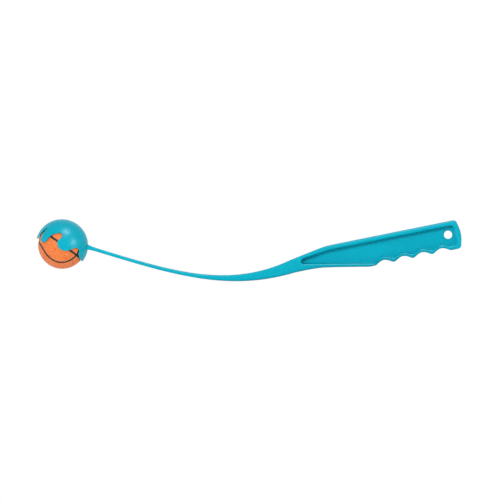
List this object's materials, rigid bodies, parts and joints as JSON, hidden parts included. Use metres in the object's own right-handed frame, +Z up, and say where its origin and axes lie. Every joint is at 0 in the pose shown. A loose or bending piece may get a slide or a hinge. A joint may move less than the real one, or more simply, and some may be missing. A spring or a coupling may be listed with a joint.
{
  "type": "dog ball thrower",
  "caption": "Hand-held dog ball thrower: moulded grip with finger grooves and a hang hole, long bowed tapering shaft, and a springy fingered cup gripping a hollow rubber ball.",
  "frame": {"origin": "centre of the bounding box in plan, on the plane that the part rests on", "axes": "+X from the cup to the butt, the part's longest extent; +Z up; Y across the profile, which is symmetric about Y = 0"},
  "size_m": [0.5148, 0.064, 0.1024],
  "materials": {
    "thrower_plastic": "satin-gloss teal polypropylene, moulded in one shot with the grip's frame",
    "ball_rubber": "matt orange rubber with a fine pebble grain"
  },
  "bodies": {
    "handle": {"handle": "thrower_plastic"},
    "shaft_rear": {"shaft_rear": "thrower_plastic"},
    "shaft_front": {"shaft_front": "thrower_plastic"},
    "cup": {"cup_crown": "thrower_plastic"},
    "thumb_left": {"thumb_left": "thrower_plastic"},
    "thumb_right": {"thumb_right": "thrower_plastic"},
    "side_finger_left": {"side_finger_left": "thrower_plastic"},
    "side_finger_right": {"side_finger_right": "thrower_plastic"},
    "centre_finger": {"centre_finger": "thrower_plastic"},
    "ball": {"ball": "ball_rubber"}
  },
  "joints": [
    {"name": "shaft_flex_rear", "type": "hinge", "parent": "handle", "child": "shaft_rear", "pos_m": [-0.05321, 0, 0.01049], "axis": [0, 1, 0], "range_deg": [-4, 8], "stiffness_Nm_per_rad": 10},
    {"name": "shaft_flex_front", "type": "hinge", "parent": "shaft_rear", "child": "shaft_front", "pos_m": [-0.11579, 0, 0.02996], "axis": [0, 1, 0], "range_deg": [-5.2, 10.4]},
    {"name": "cup_flex", "type": "hinge", "parent": "shaft_front", "child": "cup", "pos_m": [-0.19642, 0, 0.06363], "axis": [0, 1, 0], "range_deg": [-1.6, 3.2]},
    {"name": "centre_finger_spread", "type": "hinge", "parent": "cup", "child": "centre_finger", "pos_m": [-0.24592, 0, 0.09609], "axis": [0, 1, 0], "range_deg": [0, 4], "stiffness_Nm_per_rad": 2},
    {"name": "thumb_left_spread", "type": "hinge", "parent": "cup", "child": "thumb_left", "pos_m": [-0.21938, 0.02993, 0.07409], "axis": [0.5835, -0.0689, -0.8092], "range_deg": [0, 4]},
    {"name": "thumb_right_spread", "type": "hinge", "parent": "cup", "child": "thumb_right", "pos_m": [-0.21938, -0.02993, 0.07409], "axis": [-0.5835, -0.0689, 0.8092], "range_deg": [0, 4]},
    {"name": "side_finger_left_spread", "type": "hinge", "parent": "cup", "child": "side_finger_left", "pos_m": [-0.23983, 0.02187, 0.08945], "axis": [0.4849, 0.709, -0.5121], "range_deg": [0, 4]},
    {"name": "side_finger_right_spread", "type": "hinge", "parent": "cup", "child": "side_finger_right", "pos_m": [-0.23983, -0.02187, 0.08945], "axis": [-0.4849, 0.709, 0.5121], "range_deg": [0, 4]},
    {"name": "ball_release", "type": "slide", "parent": "cup", "child": "ball", "axis": [-0.5628, 0, -0.8266], "range_m": [0, 0.048]}
  ],
  "couplings": [
    {"joint": "shaft_flex_front", "follows": "shaft_flex_rear", "ratio": 1.3},
    {"joint": "cup_flex", "follows": "shaft_flex_rear", "ratio": 0.4},
    {"joint": "thumb_left_spread", "follows": "centre_finger_spread", "ratio": 1},
    {"joint": "thumb_right_spread", "follows": "centre_finger_spread", "ratio": 1},
    {"joint": "side_finger_left_spread", "follows": "centre_finger_spread", "ratio": 1},
    {"joint": "side_finger_right_spread", "follows": "centre_finger_spread", "ratio": 1}
  ]
}
